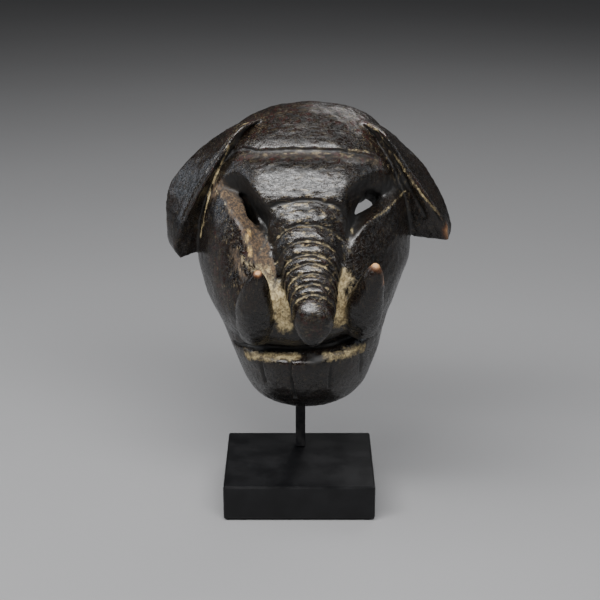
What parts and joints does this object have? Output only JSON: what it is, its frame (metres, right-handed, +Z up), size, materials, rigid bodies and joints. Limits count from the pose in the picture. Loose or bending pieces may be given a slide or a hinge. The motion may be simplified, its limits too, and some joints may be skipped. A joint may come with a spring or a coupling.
{
  "type": "carved animal face mask on a display stand",
  "caption": "Carved wooden elephant face mask with drooping ears, tusks and a ringed trunk, resting on a steel hanger that rises from a black block base.",
  "frame": {"origin": "centre of the stand's felt underside, where it stands on the table", "axes": "+Z up, the mask faces -Y, +X is the viewer's right"},
  "size_m": [0.225, 0.1569, 0.3195],
  "materials": {
    "carved_wood": "dark handled patina with pale clay in the grooves",
    "black_painted_wood": "satin black paint",
    "blackened_steel": "matt black",
    "zinc_steel": "zinc plated",
    "black_rubber": "matt",
    "felt": "pressed felt"
  },
  "bodies": {
    "stand": {"base_block": "black_painted_wood", "base_felt": "felt", "post": "blackened_steel", "post_washer": "zinc_steel", "post_nut": "zinc_steel", "hanger_bar": "blackened_steel", "bar_set_screw": "zinc_steel", "bar_sleeve_left": "black_rubber", "bar_sleeve_right": "black_rubber", "chin_bumper": "black_rubber", "bumper_screw": "zinc_steel"},
    "mask": {"mask_carving": "carved_wood"}
  },
  "joints": [
    {"name": "mask_lift", "type": "slide", "parent": "stand", "child": "mask", "axis": [0, 0, 1], "range_m": [0, 0.24]}
  ]
}
